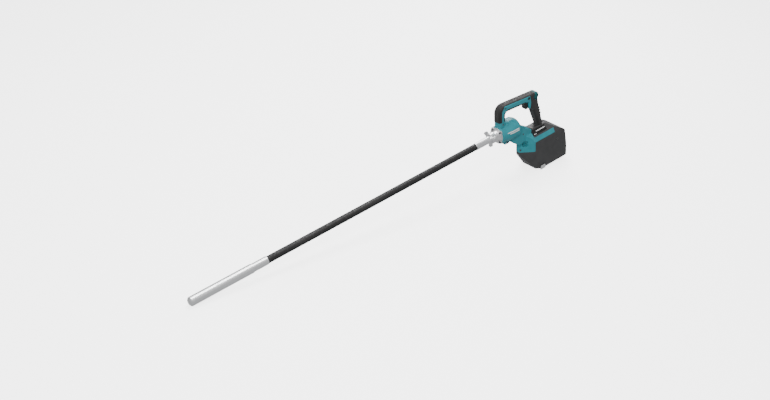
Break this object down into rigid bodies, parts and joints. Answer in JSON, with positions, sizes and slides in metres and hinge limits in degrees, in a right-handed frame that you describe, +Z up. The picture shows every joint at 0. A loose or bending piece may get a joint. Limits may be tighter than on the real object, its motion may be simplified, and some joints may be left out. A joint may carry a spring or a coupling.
{
  "type": "concrete vibrator",
  "caption": "Cordless hand-held concrete vibrator: D-handled drive unit with battery box, hose on a threaded coupling and a steel vibrating head.",
  "frame": {"origin": "centre of the object's floor rectangle, measured without the hose and its liner, at the floor", "axes": "+Z up from the floor; +X horizontal from the vibrating head back to the battery box; -Y is the tool's left side"},
  "size_m": [1.638, 0.0996, 0.303],
  "materials": {
    "teal_housing": "satin moulded nylon",
    "dark_teal_cap": "matte moulded",
    "grip_rubber": "soft-touch overmould",
    "black_housing": "fine-textured moulded",
    "black_plastic": "smooth moulded",
    "battery_plastic": "moulded battery case",
    "label": "printed film",
    "stripe_print": "printed pale stripes",
    "hose_rubber": "wrapped rubber hose",
    "liner_rubber": "smooth",
    "soft_rubber": "matte",
    "cast_aluminium": "cast and machined",
    "plain_aluminium": "machined",
    "bright_steel": "turned and ground",
    "copper": "enamelled wire",
    "fan_plastic": "moulded",
    "dark_steel": "oiled"
  },
  "bodies": {
    "drive_unit": {"housing_left": "teal_housing", "housing_right": "teal_housing", "handle_shell_left": "teal_housing", "handle_shell_right": "teal_housing", "grip_front_leg": "grip_rubber", "grip_top_bar": "grip_rubber", "grip_inner": "grip_rubber", "grip_rear_leg": "grip_rubber", "handle_end_cap": "dark_teal_cap", "trigger_switch": "black_plastic", "case_screws": "dark_steel", "motor_plate_front": "plain_aluminium", "motor_bearing_front": "dark_steel", "stator_core": "dark_steel", "stator_windings": "copper", "motor_plate_rear": "plain_aluminium", "motor_bearing_rear": "dark_steel", "front_flange": "cast_aluminium", "flange_screws": "dark_steel", "hose_sleeve": "bright_steel", "head_neck": "bright_steel", "head_tube": "bright_steel", "head_cap": "bright_steel", "head_bearing_front": "dark_steel", "head_bearing_rear": "dark_steel", "head_seal": "soft_rubber", "box_top": "black_housing", "battery_box": "black_housing", "box_screws": "dark_steel", "cover_hinge_pin": "dark_steel", "latch_pins": "dark_steel", "label_left": "label", "label_stripes_left": "stripe_print", "label_right": "label", "label_stripes_right": "stripe_print", "barrel_stripes_left": "stripe_print", "barrel_stripes_right": "stripe_print", "terminal_block": "black_plastic", "motor_controller": "plain_aluminium", "switch_lead": "soft_rubber", "hose": "hose_rubber", "hose_liner": "liner_rubber"},
    "rotor": {"rotor_shaft": "dark_steel", "rotor_core": "dark_steel", "cooling_fan": "fan_plastic"},
    "flexible_core": {"flexible_core": "dark_steel"},
    "eccentric": {"eccentric_weight": "dark_steel"},
    "coupling_nut": {"coupling_nut": "cast_aluminium"},
    "trigger": {"trigger": "black_plastic"},
    "lock_button": {"lock_button": "black_plastic"},
    "cover": {"battery_cover": "black_housing", "cover_seal": "soft_rubber"},
    "battery": {"battery_pack": "battery_plastic"},
    "battery_release": {"battery_release": "black_plastic"},
    "latch_left": {"latch_left": "bright_steel"},
    "latch_right": {"latch_right": "bright_steel"}
  },
  "joints": [
    {"name": "rotor_spin", "type": "hinge", "parent": "drive_unit", "child": "rotor", "pos_m": [0.46579, 0, 0.17941], "axis": [0.9918, 0, 0.1275], "continuous": true},
    {"name": "flexible_core_spin", "type": "hinge", "parent": "drive_unit", "child": "flexible_core", "pos_m": [-0.03013, 0, 0.11564], "axis": [0.9918, 0, 0.1275], "continuous": true},
    {"name": "eccentric_spin", "type": "hinge", "parent": "drive_unit", "child": "eccentric", "pos_m": [-0.70458, 0, 0.02891], "axis": [0.9918, 0, 0.1275], "continuous": true},
    {"name": "coupling_nut_turn", "type": "hinge", "parent": "drive_unit", "child": "coupling_nut", "pos_m": [0.44099, 0, 0.17622], "axis": [0.9918, 0, 0.1275], "range_deg": [0, 60]},
    {"name": "trigger_pull", "type": "slide", "parent": "drive_unit", "child": "trigger", "axis": [0.9918, 0, 0.1275], "range_m": [0, 0.006], "stiffness_N_per_m": 500, "springref_m": -0.004},
    {"name": "lock_button_slide", "type": "slide", "parent": "drive_unit", "child": "lock_button", "axis": [0, 1, 0], "range_m": [0, 0.004], "stiffness_N_per_m": 300, "springref_m": -0.003},
    {"name": "cover_hinge", "type": "hinge", "parent": "drive_unit", "child": "cover", "pos_m": [0.8052, 0, 0.02544], "axis": [0, -1, 0], "range_deg": [0, 95]},
    {"name": "battery_slide", "type": "slide", "parent": "drive_unit", "child": "battery", "axis": [0.1275, 0, -0.9918], "range_m": [0, 0.036]},
    {"name": "battery_release_press", "type": "slide", "parent": "battery", "child": "battery_release", "axis": [0.9918, 0, 0.1275], "range_m": [0, 0.003], "stiffness_N_per_m": 500, "springref_m": -0.003},
    {"name": "latch_left_turn", "type": "hinge", "parent": "drive_unit", "child": "latch_left", "pos_m": [0.67847, -0.0472, 0.01519], "axis": [-0.9918, 0, -0.1275], "range_deg": [0, 110]},
    {"name": "latch_right_turn", "type": "hinge", "parent": "drive_unit", "child": "latch_right", "pos_m": [0.67847, 0.0472, 0.01519], "axis": [0.9918, 0, 0.1275], "range_deg": [0, 110]}
  ],
  "couplings": [
    {"joint": "flexible_core_spin", "follows": "rotor_spin", "ratio": 1},
    {"joint": "eccentric_spin", "follows": "rotor_spin", "ratio": 1},
    {"joint": "battery_slide", "follows": "cover_hinge", "m_per_rad": 0.021}
  ]
}
